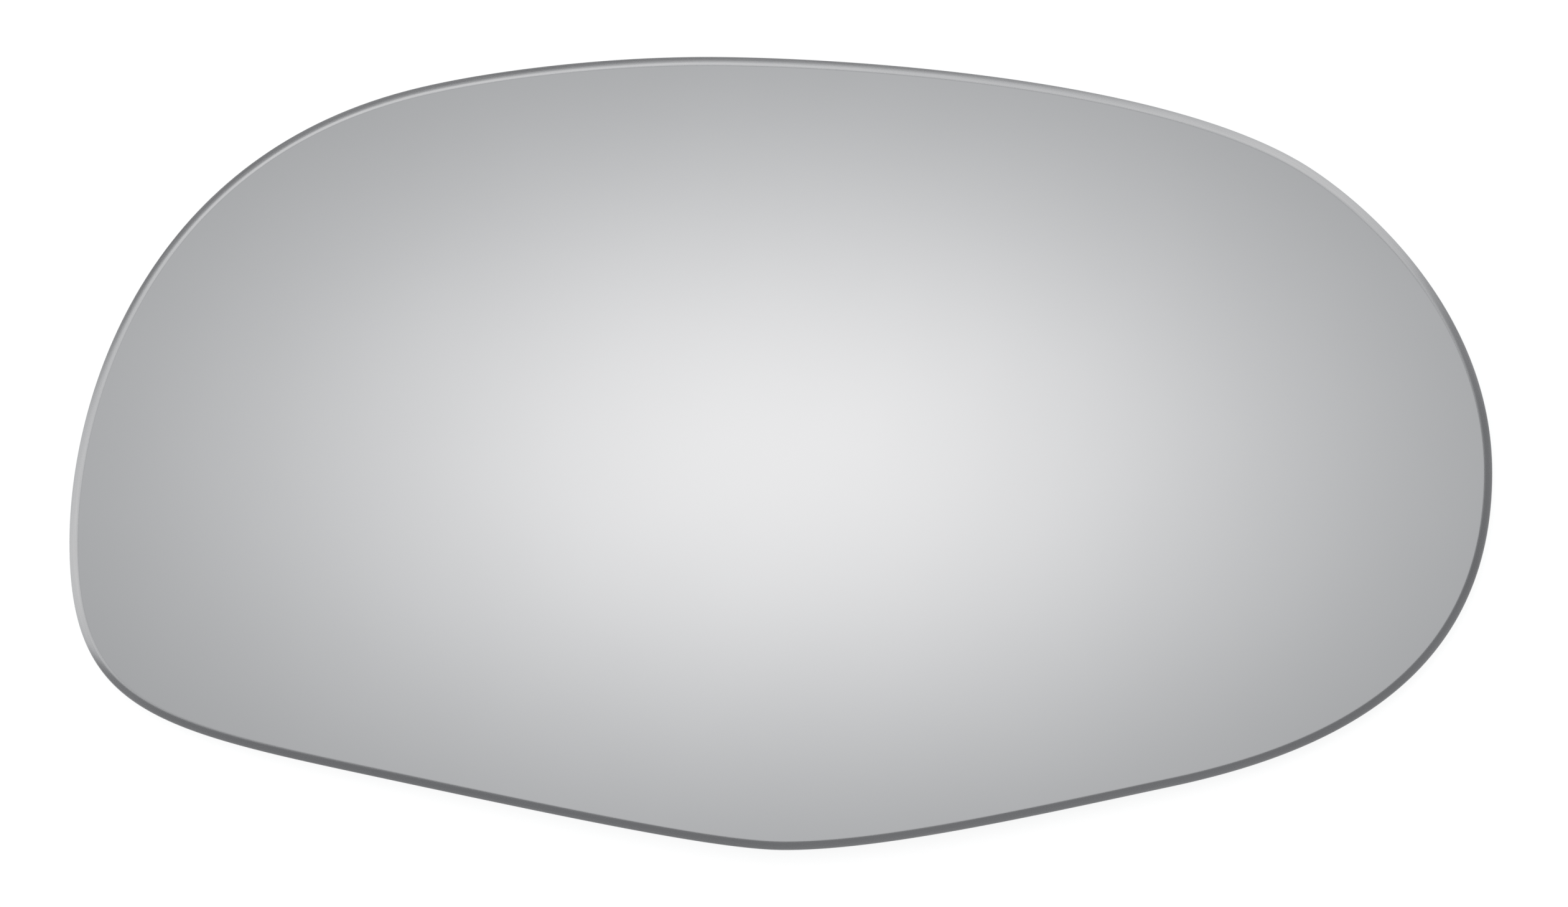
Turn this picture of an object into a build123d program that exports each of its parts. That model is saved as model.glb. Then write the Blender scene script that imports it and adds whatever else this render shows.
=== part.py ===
from build123d import *
import math
import os

os.makedirs("parts", exist_ok=True)

# The sheet: bent float glass, lying on its back with the reflecting face up
glass_width = 183.0
glass_height = 101.8
glass_thickness = 2.0
face_radius = 1400.0

# The ground rim: a bevel on the front and a narrow arris at the back
bevel_width = 0.95
bevel_slope = 30.0
back_arris = 0.3

# Nose, the right-hand end: how far below the middle it reaches furthest, and how far the curve runs on
nose_drop = 2.5
nose_reach_up = 21.5
nose_reach_down = 26.0

# Right shoulder: set in from the right side, down from the top, and its slope
right_shoulder_inset = 25.0
right_shoulder_drop = 13.3
right_shoulder_slope = 30.0
right_shoulder_reach_nose = 8.5
right_shoulder_reach_crown = 22.5

# Crown, the highest point of the rim: how far left of the middle
crown_shift = 9.5
crown_reach = 14.0

# Left shoulder: set in from the left side, down from the top, and its slope
left_shoulder_inset = 43.5
left_shoulder_drop = 4.3
left_shoulder_slope = 14.5
left_shoulder_reach_crown = 9.5
left_shoulder_reach_heel = 35.0

# Heel, the left-hand end: how far below the middle it reaches furthest
heel_drop = 11.5
heel_reach_up = 18.5
heel_reach_down = 21.0

# Toe, where the tight lower left corner meets the long straight bottom run
toe_inset = 37.0
toe_rise = 9.9
toe_slope = 12.0
toe_reach_heel = 27.5
toe_reach_keel = 28.5

# Keel, the lowest point of the rim: how far right of the middle
keel_shift = 0.5
keel_reach_toe = 8.5
keel_reach_chin = 12.5

# Chin, where the right-hand bottom run turns up to the nose
chin_inset = 41.0
chin_rise = 8.2
chin_slope = 12.0
chin_reach_keel = 19.5
chin_reach_nose = 21.5

# Points of the rim, seen from the front with the middle of the glass at the origin
right_side = glass_width / 2
left_side = -glass_width / 2
top_side = glass_height / 2
bottom_side = -glass_height / 2

nose = Vector(right_side, -nose_drop)
right_shoulder = Vector(right_side - right_shoulder_inset, top_side - right_shoulder_drop)
crown = Vector(-crown_shift, top_side)
left_shoulder = Vector(left_side + left_shoulder_inset, top_side - left_shoulder_drop)
heel = Vector(left_side, -heel_drop)
toe = Vector(left_side + toe_inset, bottom_side + toe_rise)
keel = Vector(keel_shift, bottom_side)
chin = Vector(right_side - chin_inset, bottom_side + chin_rise)

# Directions of the rim at those points, going anticlockwise
upward = Vector(0, 1)
leftward = Vector(-1, 0)
downward = Vector(0, -1)
rightward = Vector(1, 0)
over_right_shoulder = leftward.rotate(Axis.Z, -right_shoulder_slope)
over_left_shoulder = leftward.rotate(Axis.Z, left_shoulder_slope)
along_toe = rightward.rotate(Axis.Z, -toe_slope)
along_chin = rightward.rotate(Axis.Z, chin_slope)

# Bending and grinding sizes that follow from those above
back_radius = face_radius - glass_thickness
bevel_depth = bevel_width * math.tan(math.radians(bevel_slope))
blank_depth = math.hypot(glass_width, glass_height) / 2
bend_centre = (0, 0, -face_radius)
poles_sideways = (0, 90, 0)

# The rim's eight runs, anticlockwise from the nose, kept apart so that each one has its own wall and bevel
rim = [
    Bezier(
        nose,
        nose + upward * nose_reach_up,
        right_shoulder - over_right_shoulder * right_shoulder_reach_nose,
        right_shoulder,
    ),
    Bezier(
        right_shoulder,
        right_shoulder + over_right_shoulder * right_shoulder_reach_crown,
        crown - leftward * crown_reach,
        crown,
    ),
    Bezier(
        crown,
        crown + leftward * crown_reach,
        left_shoulder - over_left_shoulder * left_shoulder_reach_crown,
        left_shoulder,
    ),
    Bezier(
        left_shoulder,
        left_shoulder + over_left_shoulder * left_shoulder_reach_heel,
        heel - downward * heel_reach_up,
        heel,
    ),
    Bezier(
        heel,
        heel + downward * heel_reach_down,
        toe - along_toe * toe_reach_heel,
        toe,
    ),
    Bezier(
        toe,
        toe + along_toe * toe_reach_keel,
        keel - rightward * keel_reach_toe,
        keel,
    ),
    Bezier(
        keel,
        keel + rightward * keel_reach_chin,
        chin - along_chin * chin_reach_keel,
        chin,
    ),
    Bezier(
        chin,
        chin + along_chin * chin_reach_nose,
        nose - upward * nose_reach_down,
        nose,
    ),
]
blank = Pos(0, 0, -blank_depth) * make_face(rim)

# The bent and ground glass, with the crest of its face at the origin
with BuildPart() as bent_glass:
    extrude(blank, amount=2 * blank_depth, clean=False)

    # Only what lies between two spheres with one centre is left of the blank: the bent sheet
    with Locations(bend_centre):
        Sphere(face_radius, rotation=poles_sideways, mode=Mode.INTERSECT)
        Sphere(back_radius, rotation=poles_sideways, mode=Mode.SUBTRACT)

    # The bevel keeps one width all the way round the domed rim
    face = bent_glass.faces().filter_by(GeomType.SPHERE).sort_by(Axis.Z)[-1]
    chamfer(face.edges(), length=bevel_width, length2=bevel_depth, reference=face)

    # The sharp rim of the back is broken by the arris
    back = bent_glass.faces().filter_by(GeomType.SPHERE).sort_by(Axis.Z)[0]
    chamfer(back.edges(), length=back_arris)

# The finished glass, set down with its lowest points at zero height
with BuildPart() as mirror_glass:
    with Locations((0, 0, -bent_glass.part.bounding_box().min.Z)):
        add(bent_glass.part, clean=False)

mirror_glass.part.label = "mirror_glass"
export_step(mirror_glass.part, "parts/mirror_glass.step")
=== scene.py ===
import math
from typing import NamedTuple

import bmesh
import bpy
from bpy.props import FloatProperty, FloatVectorProperty, IntProperty, PointerProperty
from bpy.types import Operator, Panel, PropertyGroup
from mathutils import Color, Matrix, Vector


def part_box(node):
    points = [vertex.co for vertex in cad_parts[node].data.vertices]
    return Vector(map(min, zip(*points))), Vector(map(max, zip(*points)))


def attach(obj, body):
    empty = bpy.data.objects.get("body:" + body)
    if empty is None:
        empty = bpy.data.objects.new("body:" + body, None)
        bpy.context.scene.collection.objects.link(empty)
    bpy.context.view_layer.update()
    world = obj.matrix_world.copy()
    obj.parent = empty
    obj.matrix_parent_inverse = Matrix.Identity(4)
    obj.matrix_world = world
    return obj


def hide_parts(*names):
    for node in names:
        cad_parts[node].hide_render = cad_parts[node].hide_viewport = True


bl_info = {
    "name": "Door Mirror Glass",
    "version": (1, 0, 0),
    "blender": (4, 5, 0),
    "location": "3D Viewport > Sidebar > Mirror Glass",
    "description": "Builds a convex door mirror glass with a bevelled rim, lying on a pale studio floor",
    "category": "Add Mesh",
}

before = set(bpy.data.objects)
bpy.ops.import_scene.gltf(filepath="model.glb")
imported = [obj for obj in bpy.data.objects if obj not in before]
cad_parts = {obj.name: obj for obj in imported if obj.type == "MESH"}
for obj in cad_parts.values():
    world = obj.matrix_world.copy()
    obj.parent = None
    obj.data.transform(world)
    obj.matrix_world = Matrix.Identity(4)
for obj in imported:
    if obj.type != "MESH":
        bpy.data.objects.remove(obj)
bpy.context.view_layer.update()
glass_low, glass_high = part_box("mirror_glass")

MM = 0.001

# Finishes of the sheet, in the order of its material slots
FACE, BEVEL, EDGE, BACK = range(4)

# Rings of faces over the rounded crease, down the bevel, over its outer corner, and down wall and arris
CREASE_STEPS = 6
BEVEL_STEPS = 8
BREAK_STEPS = 3
EDGE_STEPS = 2

# A narrow ring of face inside the crease keeps the crease's shading off the rest of the face
FACE_MARGIN = 0.1 * MM

# Colour sockets of a Mix node, whose names are also those of its sockets for other data
MIX_SHARE, MIX_FIRST, MIX_SECOND, MIX_RESULT = 0, 6, 7, 2

# Most of a noise texture's values lie between these two
NOISE_LOW, NOISE_HIGH = 0.3, 0.7

GLASS_IOR = 1.52
LACQUER_IOR = 1.5


class Softbox(NamedTuple):
    """Where a softbox hangs as seen from the glass, in degrees and metres, and its size in metres"""

    bearing: float
    elevation: float
    distance: float
    width: float
    height: float


# One softbox overhead, a long one leaning in from the upper left, and a strip light at each end of that
OVERHEAD_BOX = Softbox(bearing=90.0, elevation=90.0, distance=1.6, width=1.1, height=0.7)
SIDE_BOX = Softbox(bearing=120.0, elevation=55.5, distance=1.2, width=4.1, height=0.92)
LEFT_STRIP = Softbox(bearing=184.0, elevation=38.0, distance=1.1, width=0.84, height=1.5)
RIGHT_STRIP = Softbox(bearing=53.0, elevation=38.0, distance=1.1, width=0.84, height=1.6)

# How far the bulb's glow spreads over each kind of softbox, along its width and its height in metres
OVERHEAD_SPREAD = (0.345, 0.2015)
SIDE_SPREAD = (1.55, 0.43)
STRIP_SPREAD = (0.37, 0.73)


def linear(hex_colour):
    """An sRGB hex value as linear red, green and blue."""
    channels = [int(hex_colour[i : i + 2], 16) / 255 for i in (1, 3, 5)]
    return tuple(c / 12.92 if c <= 0.04045 else ((c + 0.055) / 1.055) ** 2.4 for c in channels)


def length(name, millimetres, description):
    """A length property, kept in metres."""
    return FloatProperty(
        name=name,
        description=description,
        default=millimetres * MM,
        min=0.0,
        precision=5,
        subtype="DISTANCE",
        unit="LENGTH",
    )


def angle(name, degrees, description):
    """An angle property, kept in radians."""
    return FloatProperty(
        name=name,
        description=description,
        default=math.radians(degrees),
        min=0.0,
        max=math.radians(90),
        subtype="ANGLE",
        unit="ROTATION",
    )


def colour(name, hex_colour, description):
    """A colour property, kept linear."""
    return FloatVectorProperty(
        name=name,
        description=description,
        default=linear(hex_colour),
        min=0.0,
        max=1.0,
        size=3,
        subtype="COLOR",
    )


def level(name, brightness, description):
    """A brightness property, where 1 is white."""
    return FloatProperty(
        name=name,
        description=description,
        default=brightness,
        min=0.0,
        max=1.0,
        subtype="FACTOR",
    )


def steps(name, count, fewest, description):
    """A number of steps that a curve or surface is divided into."""
    return IntProperty(name=name, description=description, default=count, min=fewest)


class MirrorSheetSizes(PropertyGroup):
    """Sizes of the bent sheet and of its ground rim"""

    width: length("Width", (glass_high.x - glass_low.x) / MM, "Width of the glass from end to end")
    height: length("Height", (glass_high.y - glass_low.y) / MM, "Height of the glass at its middle")
    thickness: length("Thickness", 2.0, "Thickness of the glass sheet")
    face_radius: length("Face radius", 1400.0, "Radius the reflecting face is bent to")
    bevel_width: length("Bevel width", 0.95, "Width of the bevel round the face")
    bevel_slope: angle("Bevel slope", 30.0, "Slope of the bevel, outward and down from the face")
    bevel_fullness: angle("Bevel fullness", 5.0, "How much flatter the bevel starts, and steeper it ends")
    crease_round: length("Crease round", 0.38, "Width of the polished round between face and bevel")
    edge_break: length("Edge break", 0.03, "Width of the rounded corner between the bevel and the wall")
    back_arris: length("Back arris", 0.3, "Width of the broken corner round the back")
    rim_steps: steps("Rim steps", 64, 8, "Points on each of the rim's eight runs")
    face_steps: steps("Face steps", 24, 4, "Rings of faces from the rim to the middle")


class MirrorRimSizes(PropertyGroup):
    """Turning points of the rim as the driver sees it, and the pull of its curve on each side of them"""

    nose_drop: length("Nose drop", 2.5, "Right-hand end, below the middle")
    nose_reach_up: length("Nose reach up", 21.5, "Pull from the nose towards the right shoulder")
    nose_reach_down: length("Nose reach down", 26.0, "Pull from the nose towards the chin")
    right_shoulder_inset: length("Right shoulder inset", 25.0, "Right shoulder, in from the right side")
    right_shoulder_drop: length("Right shoulder drop", 13.3, "Right shoulder, down from the top")
    right_shoulder_slope: angle("Right shoulder slope", 30.0, "Fall of the rim at the right shoulder")
    right_shoulder_reach_nose: length("Right shoulder reach to nose", 8.5, "Pull towards the nose")
    right_shoulder_reach_crown: length("Right shoulder reach to crown", 22.5, "Pull towards the crown")
    crown_shift: length("Crown shift", 9.5, "Highest point, left of the middle")
    crown_reach: length("Crown reach", 14.0, "Pull on both sides of the crown")
    left_shoulder_inset: length("Left shoulder inset", 43.5, "Left shoulder, in from the left side")
    left_shoulder_drop: length("Left shoulder drop", 4.3, "Left shoulder, down from the top")
    left_shoulder_slope: angle("Left shoulder slope", 14.5, "Fall of the rim at the left shoulder")
    left_shoulder_reach_crown: length("Left shoulder reach to crown", 9.5, "Pull towards the crown")
    left_shoulder_reach_heel: length("Left shoulder reach to heel", 35.0, "Pull towards the heel")
    heel_drop: length("Heel drop", 11.5, "Left-hand end, below the middle")
    heel_reach_up: length("Heel reach up", 18.5, "Pull from the heel towards the left shoulder")
    heel_reach_down: length("Heel reach down", 21.0, "Pull from the heel towards the toe")
    toe_inset: length("Toe inset", 37.0, "Toe, in from the left side")
    toe_rise: length("Toe rise", 9.9, "Toe, up from the bottom")
    toe_slope: angle("Toe slope", 12.0, "Fall of the rim at the toe")
    toe_reach_heel: length("Toe reach to heel", 27.5, "Pull towards the heel")
    toe_reach_keel: length("Toe reach to keel", 28.5, "Pull towards the keel")
    keel_shift: length("Keel shift", 0.5, "Lowest point, right of the middle")
    keel_reach_toe: length("Keel reach to toe", 8.5, "Pull towards the toe")
    keel_reach_chin: length("Keel reach to chin", 12.5, "Pull towards the chin")
    chin_inset: length("Chin inset", 41.0, "Chin, in from the right side")
    chin_rise: length("Chin rise", 8.2, "Chin, up from the bottom")
    chin_slope: angle("Chin slope", 12.0, "Rise of the rim at the chin")
    chin_reach_keel: length("Chin reach to keel", 19.5, "Pull towards the keel")
    chin_reach_nose: length("Chin reach to nose", 21.5, "Pull towards the nose")


class MirrorFinishColours(PropertyGroup):
    """Colours of the glass's four surfaces"""

    silver: colour("Silver", "#F0F0F1", "Silvered face")
    silver_shade: colour("Silver shade", "#EDEDEE", "Silvered face where the coat is a touch thinner")
    bevel: colour("Bevel", "#DFDFE0", "Polished bevel")
    bevel_line: colour("Bevel line", "#D5D5D6", "Grinding lines left in the bevel")
    edge: colour("Edge", "#AAB6B1", "Ground edge of the sheet")
    edge_grit: colour("Edge grit", "#8A9793", "Pits in the ground edge")
    lacquer: colour("Lacquer", "#4A4D50", "Protective lacquer on the back")
    lacquer_shade: colour("Lacquer shade", "#3F4245", "Lacquer where it lies thicker")


class MirrorStageSettings(PropertyGroup):
    """Floor, room, lights and camera"""

    floor: colour("Floor", "#BCBCBC", "Paper floor")
    floor_glow: level("Floor glow", 0.83, "Brightness added where the floor is seen")
    floor_width: length("Floor width", 8000.0, "Width of the square floor")
    curtain: colour("Curtain", "#97989A", "Grey curtain round the room, mirrored on the rim's dark side")
    # Darker grey of the curtain in its folds: painted shade in the depth of the folds
    curtain_fold_shade: colour("Curtain fold", "#555658", "Curtain in the depth of its folds")
    backdrop: colour("Backdrop", "#F4F4F4", "Pale paper that stands round the floor")
    backdrop_rise: angle("Backdrop rise", 16.0, "How high over the floor the backdrop fades into the curtain")
    bulb_tint: colour("Bulb tint", "#FFFFFF", "Colour of a softbox in front of its bulb")
    cloth_tint: colour("Cloth tint", "#FBFDFF", "Colour of a softbox away from its bulb")
    overhead_base: level("Overhead base", 0.355, "Brightness of the overhead softbox away from its bulb")
    overhead_centre: level("Overhead centre", 0.588, "Brightness added in front of its bulb")
    side_base: level("Side base", 0.76, "Brightness of the side softbox away from its bulb")
    side_centre: level("Side centre", 0.1, "Brightness added in front of its bulb")
    strip_base: level("Strip base", 0.6, "Brightness of the strip lights away from their bulbs")
    strip_centre: level("Strip centre", 0.2, "Brightness added in front of their bulbs")
    lens: FloatProperty(name="Lens", description="Focal length", default=200.0, unit="CAMERA")
    sensor: FloatProperty(name="Sensor", description="Width of the sensor", default=36.0, unit="CAMERA")
    frame_width: length("Frame width", 201.66, "Width that fills the picture at the height of the rim")
    frame_shift: length("Frame shift", 0.40, "Camera, right of the glass's middle")
    rim_height: length("Rim height", 1.4, "Height of the rim over the floor")


def add_node(tree, kind, inputs=None, **settings):
    """Adds a node with its settings. An input, by name or number, is linked to a socket or given a value."""
    node = tree.nodes.new(kind)
    for name, value in settings.items():
        setattr(node, name, value)
    for key, value in (inputs or {}).items():
        if isinstance(value, bpy.types.NodeSocket):
            tree.links.new(value, node.inputs[key])
        elif isinstance(value, Color):
            node.inputs[key].default_value = (*value, 1.0)
        else:
            node.inputs[key].default_value = value
    return node


def per_metre(millimetres):
    """Texture scale for a pattern that repeats about every so many millimetres."""
    return 1.0 / (millimetres * MM)


def new_material(name):
    """An empty node material and its tree."""
    material = bpy.data.materials.new(name)
    material.use_nodes = True
    material.node_tree.nodes.clear()
    return material, material.node_tree


def silvered_float_glass(colours):
    # Float glass, fire polished on its bed of tin, then silvered: a clear cool mirror.
    # Wiping leaves a haze in long soft streaks, and the coat varies a little in density.
    material, tree = new_material("Silvered float glass, polished")
    coat_patch = 18.0
    streak_length, streak_width = 60.0, 5.0
    wiping_angle = math.radians(24)
    streak_thin, streak_dense = 0.35, 0.75
    clear, hazy = 0.012, 0.04
    place = add_node(tree, "ShaderNodeTexCoord").outputs["Object"]
    coat = add_node(
        tree,
        "ShaderNodeTexNoise",
        {"Vector": place, "Scale": per_metre(coat_patch), "Detail": 2.0},
    ).outputs[0]
    tint = add_node(
        tree,
        "ShaderNodeMix",
        {MIX_SHARE: coat, MIX_FIRST: colours.silver, MIX_SECOND: colours.silver_shade},
        data_type="RGBA",
    ).outputs[MIX_RESULT]
    along_wipe = add_node(
        tree,
        "ShaderNodeMapping",
        {
            "Vector": place,
            "Rotation": (0.0, 0.0, wiping_angle),
            "Scale": (per_metre(streak_length), per_metre(streak_width), per_metre(streak_length)),
        },
    ).outputs[0]
    wipe = add_node(
        tree,
        "ShaderNodeTexNoise",
        {"Vector": along_wipe, "Scale": 1.0, "Detail": 3.0, "Roughness": 0.6},
    ).outputs[0]
    haze = add_node(
        tree,
        "ShaderNodeMapRange",
        {
            "Value": wipe,
            "From Min": streak_thin,
            "From Max": streak_dense,
            "To Min": clear,
            "To Max": hazy,
        },
    ).outputs[0]
    surface = add_node(
        tree,
        "ShaderNodeBsdfPrincipled",
        {"Base Color": tint, "Metallic": 1.0, "Roughness": haze},
    ).outputs[0]
    add_node(tree, "ShaderNodeOutputMaterial", {"Surface": surface})
    return material


def polished_bevel(colours):
    # The bevel is ground with a fine wheel and felt polished, with the silver behind it:
    # a soft mirror whose faint lines run along the rim.
    # Wheel lines are about 0.01 mm apart; they are drawn at 0.12 mm, so that they show.
    material, tree = new_material("Ground bevel, felt polished")
    line_length, line_spacing = 9.0, 0.12
    glossy, soft = 0.22, 0.3
    along = add_node(tree, "ShaderNodeUVMap", uv_map="RimLine").outputs[0]
    stretched = add_node(
        tree,
        "ShaderNodeMapping",
        {"Vector": along, "Scale": (per_metre(line_length), per_metre(line_spacing), 1.0)},
    ).outputs[0]
    lines = add_node(
        tree,
        "ShaderNodeTexNoise",
        {"Vector": stretched, "Scale": 1.0, "Detail": 3.0},
    ).outputs[0]
    tint = add_node(
        tree,
        "ShaderNodeMix",
        {MIX_SHARE: lines, MIX_FIRST: colours.bevel, MIX_SECOND: colours.bevel_line},
        data_type="RGBA",
    ).outputs[MIX_RESULT]
    softness = add_node(
        tree,
        "ShaderNodeMapRange",
        {
            "Value": lines,
            "From Min": NOISE_LOW,
            "From Max": NOISE_HIGH,
            "To Min": glossy,
            "To Max": soft,
        },
    ).outputs[0]
    surface = add_node(
        tree,
        "ShaderNodeBsdfPrincipled",
        {"Base Color": tint, "Metallic": 1.0, "Roughness": softness},
    ).outputs[0]
    add_node(tree, "ShaderNodeOutputMaterial", {"Surface": surface})
    return material


def ground_edge(colours):
    # The wall of the sheet is left as the diamond wheel cut it: pale grey-green, matt, finely pitted.
    # The wheel's grit is about 0.05 mm; it is drawn at 0.2 mm, so that it shows.
    material, tree = new_material("Ground glass edge, diamond cut")
    grit_size = 0.2
    pit_depth = 0.02
    in_pits, between_pits = 0.62, 0.42
    place = add_node(tree, "ShaderNodeTexCoord").outputs["Object"]
    grit = add_node(
        tree,
        "ShaderNodeTexNoise",
        {"Vector": place, "Scale": per_metre(grit_size), "Detail": 3.0, "Roughness": 0.7},
    ).outputs[0]
    tint = add_node(
        tree,
        "ShaderNodeMix",
        {MIX_SHARE: grit, MIX_FIRST: colours.edge_grit, MIX_SECOND: colours.edge},
        data_type="RGBA",
    ).outputs[MIX_RESULT]
    dullness = add_node(
        tree,
        "ShaderNodeMapRange",
        {
            "Value": grit,
            "From Min": NOISE_LOW,
            "From Max": NOISE_HIGH,
            "To Min": in_pits,
            "To Max": between_pits,
        },
    ).outputs[0]
    pits = add_node(
        tree,
        "ShaderNodeBump",
        {"Height": grit, "Strength": 0.4, "Distance": pit_depth * MM},
    ).outputs[0]
    surface = add_node(
        tree,
        "ShaderNodeBsdfPrincipled",
        {"Base Color": tint, "Roughness": dullness, "IOR": GLASS_IOR, "Normal": pits},
    ).outputs[0]
    add_node(tree, "ShaderNodeOutputMaterial", {"Surface": surface})
    return material


def backing_lacquer(colours):
    # Mirror backing is a curtain-coated lacquer, dark grey and half matt, with a slight orange peel.
    material, tree = new_material("Backing lacquer, curtain coated")
    mottle_size = 14.0
    peel_size, peel_depth = 1.6, 0.03
    thick_coat, thin_coat = 0.5, 0.38
    place = add_node(tree, "ShaderNodeTexCoord").outputs["Object"]
    mottle = add_node(
        tree,
        "ShaderNodeTexNoise",
        {"Vector": place, "Scale": per_metre(mottle_size), "Detail": 4.0},
    ).outputs[0]
    peel = add_node(
        tree,
        "ShaderNodeTexNoise",
        {"Vector": place, "Scale": per_metre(peel_size), "Detail": 2.0},
    ).outputs[0]
    tint = add_node(
        tree,
        "ShaderNodeMix",
        {MIX_SHARE: mottle, MIX_FIRST: colours.lacquer_shade, MIX_SECOND: colours.lacquer},
        data_type="RGBA",
    ).outputs[MIX_RESULT]
    sheen = add_node(
        tree,
        "ShaderNodeMapRange",
        {
            "Value": mottle,
            "From Min": NOISE_LOW,
            "From Max": NOISE_HIGH,
            "To Min": thick_coat,
            "To Max": thin_coat,
        },
    ).outputs[0]
    skin = add_node(
        tree,
        "ShaderNodeBump",
        {"Height": peel, "Strength": 0.35, "Distance": peel_depth * MM},
    ).outputs[0]
    surface = add_node(
        tree,
        "ShaderNodeBsdfPrincipled",
        {"Base Color": tint, "Roughness": sheen, "IOR": LACQUER_IOR, "Normal": skin},
    ).outputs[0]
    add_node(tree, "ShaderNodeOutputMaterial", {"Surface": surface})
    return material


def rim_line(sizes, rim):
    """Points of the rim as the driver sees it, anticlockwise from the nose, read from a closed curve."""
    right, top = sizes.width / 2, sizes.height / 2
    half_turn, quarter_turn = math.pi, math.pi / 2
    # Each turning point has its place, the direction the rim goes there, and its pull before and after it.
    turning_points = (
        (
            (right, -rim.nose_drop),
            quarter_turn,
            rim.nose_reach_down,
            rim.nose_reach_up,
        ),
        (
            (right - rim.right_shoulder_inset, top - rim.right_shoulder_drop),
            half_turn - rim.right_shoulder_slope,
            rim.right_shoulder_reach_nose,
            rim.right_shoulder_reach_crown,
        ),
        (
            (-rim.crown_shift, top),
            half_turn,
            rim.crown_reach,
            rim.crown_reach,
        ),
        (
            (-right + rim.left_shoulder_inset, top - rim.left_shoulder_drop),
            half_turn + rim.left_shoulder_slope,
            rim.left_shoulder_reach_crown,
            rim.left_shoulder_reach_heel,
        ),
        (
            (-right, -rim.heel_drop),
            -quarter_turn,
            rim.heel_reach_up,
            rim.heel_reach_down,
        ),
        (
            (-right + rim.toe_inset, -top + rim.toe_rise),
            -rim.toe_slope,
            rim.toe_reach_heel,
            rim.toe_reach_keel,
        ),
        (
            (rim.keel_shift, -top),
            0.0,
            rim.keel_reach_toe,
            rim.keel_reach_chin,
        ),
        (
            (right - rim.chin_inset, -top + rim.chin_rise),
            rim.chin_slope,
            rim.chin_reach_keel,
            rim.chin_reach_nose,
        ),
    )
    curve = bpy.data.curves.new("rim_line", "CURVE")
    curve.dimensions = "3D"
    spline = curve.splines.new("BEZIER")
    spline.bezier_points.add(len(turning_points) - 1)
    spline.use_cyclic_u = True
    spline.resolution_u = sizes.rim_steps
    for point, (place, heading, before, after) in zip(spline.bezier_points, turning_points):
        ahead = Vector((math.cos(heading), math.sin(heading), 0.0))
        point.handle_left_type = point.handle_right_type = "FREE"
        point.co = (*place, 0.0)
        point.handle_left = point.co - ahead * before
        point.handle_right = point.co + ahead * after
    holder = bpy.data.objects.new("rim_line", curve)
    line = bpy.data.meshes.new_from_object(holder)
    points = [v.co.copy() for v in line.vertices]
    bpy.data.objects.remove(holder)
    bpy.data.curves.remove(curve)
    bpy.data.meshes.remove(line)
    if len(points) != len(turning_points) * sizes.rim_steps:
        raise RuntimeError("The rim's curve gave no closed line of points")
    return points


def back_radius(sizes):
    """Radius of the sheet's hollow back, bent about the same centre as its face."""
    return sizes.face_radius - sizes.thickness


def dome_height(radius, sizes, place):
    """Height of the bend's sphere of that radius over a place of the plan, from the crest of the face."""
    return math.sqrt(radius * radius - place.x**2 - place.y**2) - sizes.face_radius


def rim_section(sizes, point, inward):
    """Section of the rim at one of its points, from the face's outer line to the back's outer line."""
    down = Vector((0.0, 0.0, -1.0))

    def on_dome(radius, inset):
        place = point + inward * inset
        place.z = dome_height(radius, sizes, place)
        return place

    # The slope swings up from the face's own over the rounded crease, then grows slowly to the edge
    crease_start = sizes.bevel_width + sizes.crease_round / 2
    bevel_start = sizes.bevel_width - sizes.crease_round / 2
    section = [
        on_dome(sizes.face_radius, crease_start + FACE_MARGIN),
        on_dome(sizes.face_radius, crease_start),
    ]
    face_slope = math.atan2(section[0].z - section[1].z, FACE_MARGIN)
    first_slope = sizes.bevel_slope - sizes.bevel_fullness
    last_slope = sizes.bevel_slope + sizes.bevel_fullness
    stretches = (
        (crease_start - bevel_start, CREASE_STEPS, face_slope, first_slope),
        (bevel_start - sizes.edge_break, BEVEL_STEPS, first_slope, last_slope),
    )
    for width, count, flatter, steeper in stretches:
        run = width / count
        for i in range(count):
            slope = flatter + (steeper - flatter) * (i + 0.5) / count
            section.append(section[-1] - inward * run + down * (run * math.tan(slope)))

    # The corner over the wall is rounded, and the one under it is cut by the arris
    bevel_end = section[-1]
    corner = bevel_end - inward * sizes.edge_break + down * (sizes.edge_break * math.tan(last_slope))
    wall_top = corner + down * sizes.edge_break
    for i in range(1, BREAK_STEPS + 1):
        share = i / BREAK_STEPS
        section.append(bevel_end.lerp(corner, share).lerp(corner.lerp(wall_top, share), share))
    section.append(on_dome(back_radius(sizes), 0.0) - down * sizes.back_arris)
    section.append(on_dome(back_radius(sizes), sizes.back_arris))
    return section


def shrunk_ring(ring, share, radius, sizes):
    """A ring drawn in towards the middle of the glass, on the bend's sphere of that radius."""
    drawn_in = [p * share for p in ring]
    for p in drawn_in:
        p.z = dome_height(radius, sizes, p)
    return drawn_in


def sheet_rings(sizes, line):
    """Rings of points over the whole sheet: out over the face, down the rim and in along the back."""
    sections = []
    for i, point in enumerate(line):
        along = (line[(i + 1) % len(line)] - line[i - 1]).normalized()
        inward = Vector((-along.y, along.x, 0.0))
        sections.append(rim_section(sizes, point, inward))
    rim_rings = list(zip(*sections))
    shares = [i / sizes.face_steps for i in range(1, sizes.face_steps)]
    face_rings = [shrunk_ring(rim_rings[0], share, sizes.face_radius, sizes) for share in shares]
    hollow = back_radius(sizes)
    back_rings = [shrunk_ring(rim_rings[-1], share, hollow, sizes) for share in reversed(shares)]
    return face_rings + rim_rings + back_rings


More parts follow.
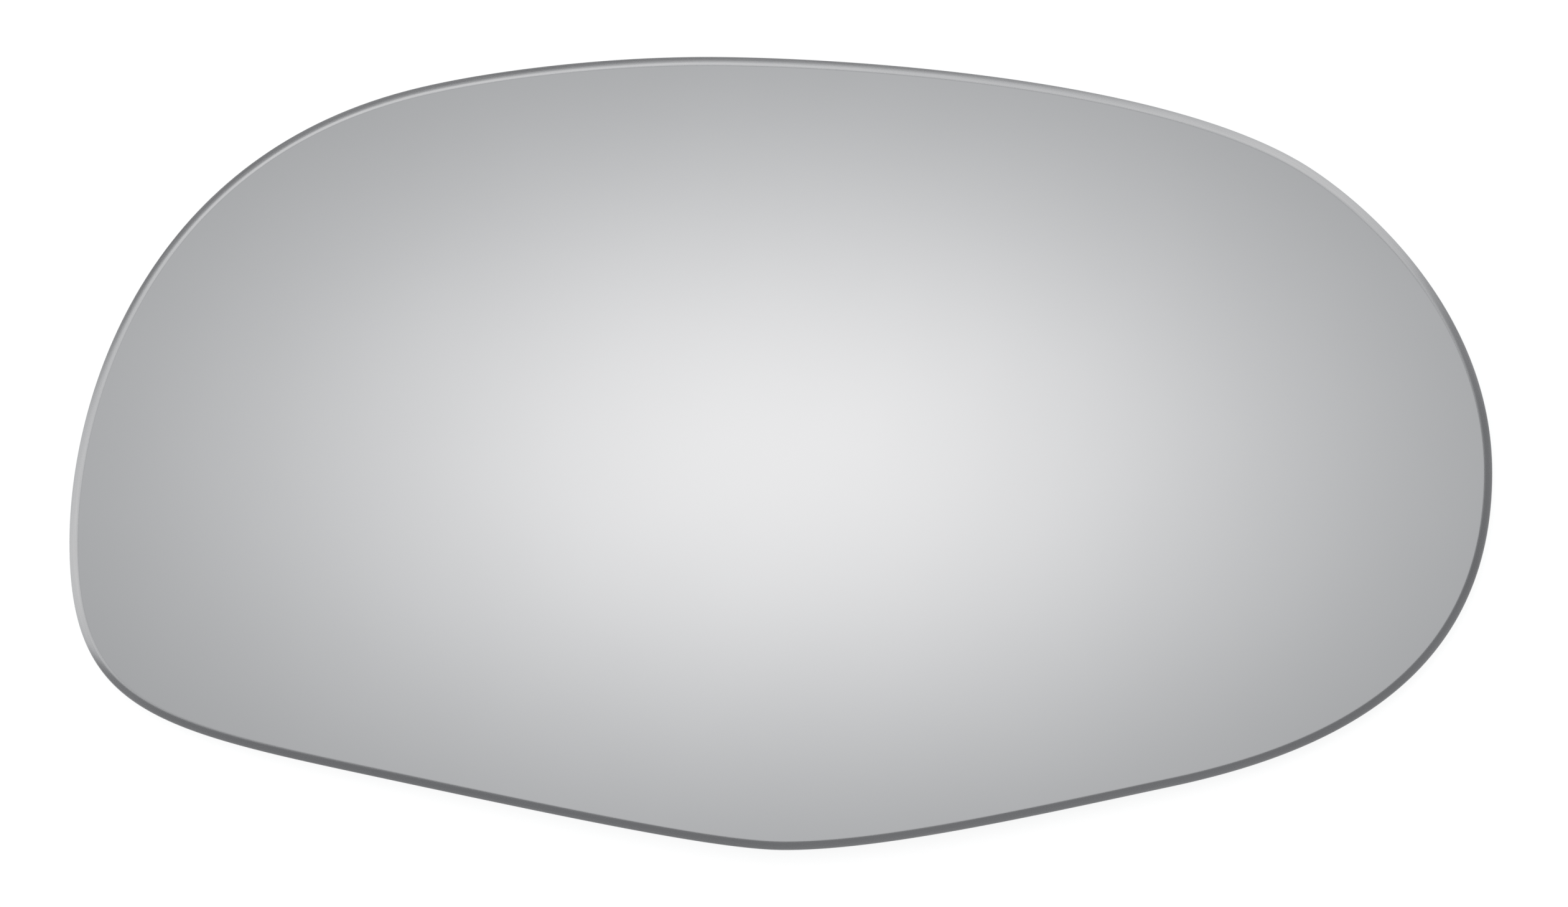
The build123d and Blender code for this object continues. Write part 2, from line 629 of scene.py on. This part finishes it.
def sheet_mesh(sizes, rim):
    """The whole sheet as one closed mesh, with a finish for each of its surfaces and a map along the rim."""
    line = rim_line(sizes, rim)
    count = len(line)
    rings = sheet_rings(sizes, line)
    bevel_steps = CREASE_STEPS + BEVEL_STEPS + BREAK_STEPS
    finishes = (
        [FACE] * sizes.face_steps
        + [BEVEL] * bevel_steps
        + [EDGE] * EDGE_STEPS
        + [BACK] * (sizes.face_steps - 1)
    )
    distances = [0.0]
    for i in range(count):
        distances.append(distances[-1] + (line[(i + 1) % count] - line[i]).length)

    bm = bmesh.new()
    rim_map = bm.loops.layers.uv.new("RimLine")
    verts = [[bm.verts.new(p) for p in ring] for ring in rings]
    across = 0.0
    for k, finish in enumerate(finishes):
        step = (rings[k + 1][0] - rings[k][0]).length
        for i in range(count):
            j = (i + 1) % count
            quad = bm.faces.new((verts[k][i], verts[k + 1][i], verts[k + 1][j], verts[k][j]))
            quad.material_index = finish
            quad.smooth = True
            corners = ((i, across), (i, across + step), (i + 1, across + step), (i + 1, across))
            for loop, (place, height) in zip(quad.loops, corners):
                loop[rim_map].uv = (distances[place], height)
        across += step

    # A fan of triangles closes the middle of the face, and one the middle of the back
    middles = (
        (verts[0], sizes.face_radius, FACE),
        (verts[-1], back_radius(sizes), BACK),
    )
    for ring, radius, finish in middles:
        middle = bm.verts.new((0.0, 0.0, dome_height(radius, sizes, Vector())))
        for i in range(count):
            pair = (ring[i], ring[(i + 1) % count])
            fan = bm.faces.new((middle, *pair) if finish == FACE else (middle, *reversed(pair)))
            fan.material_index = finish
            fan.smooth = True

    # The arris meets the wall and the back in sharp lines
    back_line = sizes.face_steps + bevel_steps + EDGE_STEPS
    for ring in (verts[back_line - 1], verts[back_line]):
        for i in range(count):
            bm.edges.get((ring[i], ring[(i + 1) % count])).smooth = False
    if not all(edge.is_manifold for edge in bm.edges):
        raise RuntimeError("The sheet's mesh isn't closed")

    # The sheet is set down with its lowest points on the floor
    lowest = min(v.co.z for v in bm.verts)
    bmesh.ops.translate(bm, verts=bm.verts, vec=(0.0, 0.0, glass_low.z - lowest))
    mesh = bpy.data.meshes.new("mirror_glass_sheet")
    bm.to_mesh(mesh)
    bm.free()
    return mesh


class MIRROR_OT_build_glass(Operator):
    """Build the bent, silvered sheet with its bevelled rim"""

    bl_idname = "mirror.build_glass"
    bl_label = "Build Mirror Glass"

    def execute(self, context):
        scene = context.scene
        mesh = sheet_mesh(scene.mirror_sheet, scene.mirror_rim)
        for finish in (silvered_float_glass, polished_bevel, ground_edge, backing_lacquer):
            mesh.materials.append(finish(scene.mirror_colours))
        glass = bpy.data.objects.new("mirror_glass_sheet", mesh)
        scene.collection.objects.link(glass)
        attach(glass, "root")
        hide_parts("mirror_glass")
        return {"FINISHED"}


def paper_floor(stage):
    # Matt seamless paper. It shows as white where it is seen, and keeps the shadow that falls on it.
    material, tree = new_material("Seamless paper, matt")
    path = add_node(tree, "ShaderNodeLightPath").outputs
    seen = add_node(
        tree,
        "ShaderNodeMath",
        {0: path["Is Camera Ray"], 1: path["Is Glossy Ray"]},
        operation="MAXIMUM",
    ).outputs[0]
    seen = add_node(
        tree,
        "ShaderNodeMath",
        {0: seen, 1: path["Is Transmission Ray"]},
        operation="MAXIMUM",
    ).outputs[0]
    glow = add_node(tree, "ShaderNodeMath", {0: seen, 1: stage.floor_glow}, operation="MULTIPLY").outputs[0]
    paper = add_node(tree, "ShaderNodeBsdfDiffuse", {"Color": stage.floor}).outputs[0]
    lit = add_node(tree, "ShaderNodeEmission", {"Strength": glow}).outputs[0]
    both = add_node(tree, "ShaderNodeAddShader", {0: paper, 1: lit}).outputs[0]
    add_node(tree, "ShaderNodeOutputMaterial", {"Surface": both})
    return material


def studio_room(stage):
    # Pale paper stands round the floor before a grey curtain in soft folds, and the glass mirrors both.
    # The curtain hangs 3 m away, and its folds are about 300 mm wide, with finer creases in them; the darker
    # grey in their depths is painted shade.
    world = bpy.data.worlds.new("Grey studio room")
    world.use_nodes = True
    tree = world.node_tree
    tree.nodes.clear()
    fold_width, curtain_distance = 300.0, 3000.0
    towards = add_node(tree, "ShaderNodeTexCoord").outputs["Generated"]
    rise = add_node(tree, "ShaderNodeSeparateXYZ", {0: towards}).outputs["Z"]
    level_line = add_node(
        tree,
        "ShaderNodeVectorMath",
        {0: towards, 1: (1.0, 1.0, 0.0)},
        operation="MULTIPLY",
    ).outputs[0]
    bearing = add_node(tree, "ShaderNodeVectorMath", {0: level_line}, operation="NORMALIZE").outputs[0]
    folds = add_node(
        tree,
        "ShaderNodeTexNoise",
        {"Vector": bearing, "Scale": curtain_distance / fold_width, "Detail": 4.0, "Roughness": 0.66},
    ).outputs[0]
    # Share of painted fold shade, darkening the curtain's grey where its folds are deep
    depth = add_node(
        tree,
        "ShaderNodeMapRange",
        {
            "Value": folds,
            "From Min": NOISE_LOW,
            "From Max": NOISE_HIGH,
            "To Min": 0.0,
            "To Max": 1.0,
        },
    ).outputs[0]
    curtain = add_node(
        tree,
        "ShaderNodeMix",
        {MIX_SHARE: depth, MIX_FIRST: stage.curtain, MIX_SECOND: stage.curtain_fold_shade},
        data_type="RGBA",
    ).outputs[MIX_RESULT]
    paper = add_node(
        tree,
        "ShaderNodeMapRange",
        {
            "Value": rise,
            "From Min": 0.0,
            "From Max": math.sin(stage.backdrop_rise),
            "To Min": 1.0,
            "To Max": 0.0,
        },
        interpolation_type="SMOOTHSTEP",
    ).outputs[0]
    tone = add_node(
        tree,
        "ShaderNodeMix",
        {MIX_SHARE: paper, MIX_FIRST: curtain, MIX_SECOND: stage.backdrop},
        data_type="RGBA",
    ).outputs[MIX_RESULT]
    light = add_node(tree, "ShaderNodeBackground", {"Color": tone}).outputs[0]
    add_node(tree, "ShaderNodeOutputWorld", {"Surface": light})
    return world


def diffuser_cloth(name, stage, base, centre, spread):
    # White woven nylon over a bulb: brightest before the bulb, falling off in an oval to a cooler white.
    material, tree = new_material(name)
    place = add_node(tree, "ShaderNodeTexCoord").outputs["Object"]
    oval = add_node(
        tree,
        "ShaderNodeMapping",
        {"Vector": place, "Scale": (1 / spread[0], 1 / spread[1], 0.0)},
    ).outputs[0]
    square = add_node(
        tree,
        "ShaderNodeVectorMath",
        {0: oval, 1: oval},
        operation="DOT_PRODUCT",
    ).outputs["Value"]
    fading = add_node(tree, "ShaderNodeMath", {0: square, 1: -1.0}, operation="MULTIPLY").outputs[0]
    bulb = add_node(tree, "ShaderNodeMath", {0: fading}, operation="EXPONENT").outputs[0]
    glow = add_node(
        tree,
        "ShaderNodeMath",
        {0: bulb, 1: centre, 2: base},
        operation="MULTIPLY_ADD",
    ).outputs[0]
    tint = add_node(
        tree,
        "ShaderNodeMix",
        {MIX_SHARE: bulb, MIX_FIRST: stage.cloth_tint, MIX_SECOND: stage.bulb_tint},
        data_type="RGBA",
    ).outputs[MIX_RESULT]
    light = add_node(tree, "ShaderNodeEmission", {"Color": tint, "Strength": glow}).outputs[0]
    add_node(tree, "ShaderNodeOutputMaterial", {"Surface": light})
    return material


def flat_card(scene, name, width, height, material):
    """A flat rectangle for the stage, facing up, with its middle on the origin."""
    bm = bmesh.new()
    bmesh.ops.create_grid(bm, x_segments=1, y_segments=1, size=0.5)
    bmesh.ops.scale(bm, vec=(width, height, 1.0), verts=bm.verts)
    mesh = bpy.data.meshes.new(name)
    bm.to_mesh(mesh)
    bm.free()
    mesh.materials.append(material)
    card = bpy.data.objects.new(name, mesh)
    scene.collection.objects.link(card)
    return card


def hang_softbox(scene, name, box, cloth):
    """A softbox turned square to the glass, out of the camera's sight."""
    bearing, elevation = math.radians(box.bearing), math.radians(box.elevation)
    out = Vector(
        (
            math.cos(elevation) * math.cos(bearing),
            math.cos(elevation) * math.sin(bearing),
            math.sin(elevation),
        )
    )
    card = flat_card(scene, name, box.width, box.height, cloth)
    card.location = out * box.distance
    card.rotation_mode = "QUATERNION"
    card.rotation_quaternion = out.to_track_quat("Z", "Y")
    card.visible_camera = False


class MIRROR_OT_set_stage(Operator):
    """Lay the floor, hang the lights and set the camera over the glass"""

    bl_idname = "mirror.set_stage"
    bl_label = "Set Studio Stage"

    def execute(self, context):
        scene = context.scene
        stage = scene.mirror_stage
        if "mirror_glass_sheet" not in scene.objects:
            raise RuntimeError("The glass is built before its stage")
        flat_card(scene, "floor", stage.floor_width, stage.floor_width, paper_floor(stage))
        scene.world = studio_room(stage)

        overhead = diffuser_cloth(
            "Woven nylon, overhead", stage, stage.overhead_base, stage.overhead_centre, OVERHEAD_SPREAD
        )
        side = diffuser_cloth(
            "Woven nylon, side", stage, stage.side_base, stage.side_centre, SIDE_SPREAD
        )
        strip = diffuser_cloth(
            "Woven nylon, strips", stage, stage.strip_base, stage.strip_centre, STRIP_SPREAD
        )
        hang_softbox(scene, "overhead_softbox", OVERHEAD_BOX, overhead)
        hang_softbox(scene, "side_softbox", SIDE_BOX, side)
        hang_softbox(scene, "left_strip", LEFT_STRIP, strip)
        hang_softbox(scene, "right_strip", RIGHT_STRIP, strip)

        # The camera looks straight down, from where the lens takes in the frame's width
        camera_data = bpy.data.cameras.new("camera")
        camera_data.sensor_width = stage.sensor
        camera_data.lens = stage.lens
        camera = bpy.data.objects.new("camera", camera_data)
        reach = stage.frame_width * stage.lens / stage.sensor
        camera.location = (stage.frame_shift, 0.0, stage.rim_height + reach)
        scene.collection.objects.link(camera)
        scene.camera = camera
        scene.view_settings.view_transform = "Standard"
        return {"FINISHED"}


class VIEW3D_PT_mirror_glass(Panel):
    """Sizes, colours and builders of the door mirror glass"""

    bl_idname = "VIEW3D_PT_mirror_glass"
    bl_label = "Door Mirror Glass"
    bl_space_type = "VIEW_3D"
    bl_region_type = "UI"
    bl_category = "Mirror Glass"

    def draw(self, context):
        for group, _ in GROUPS:
            box = self.layout.box()
            settings = getattr(context.scene, group)
            for name in settings.__annotations__:
                box.prop(settings, name)
        self.layout.operator(MIRROR_OT_build_glass.bl_idname)
        self.layout.operator(MIRROR_OT_set_stage.bl_idname)


GROUPS = (
    ("mirror_sheet", MirrorSheetSizes),
    ("mirror_rim", MirrorRimSizes),
    ("mirror_colours", MirrorFinishColours),
    ("mirror_stage", MirrorStageSettings),
)
TOOLS = (MIRROR_OT_build_glass, MIRROR_OT_set_stage, VIEW3D_PT_mirror_glass)


def register():
    for name, group in GROUPS:
        bpy.utils.register_class(group)
        setattr(bpy.types.Scene, name, PointerProperty(type=group))
    for tool in TOOLS:
        bpy.utils.register_class(tool)


def unregister():
    for tool in reversed(TOOLS):
        bpy.utils.unregister_class(tool)
    for name, group in reversed(GROUPS):
        delattr(bpy.types.Scene, name)
        bpy.utils.unregister_class(group)


def main():
    register()
    bpy.ops.mirror.build_glass()
    bpy.ops.mirror.set_stage()


if __name__ == "__main__":
    main()
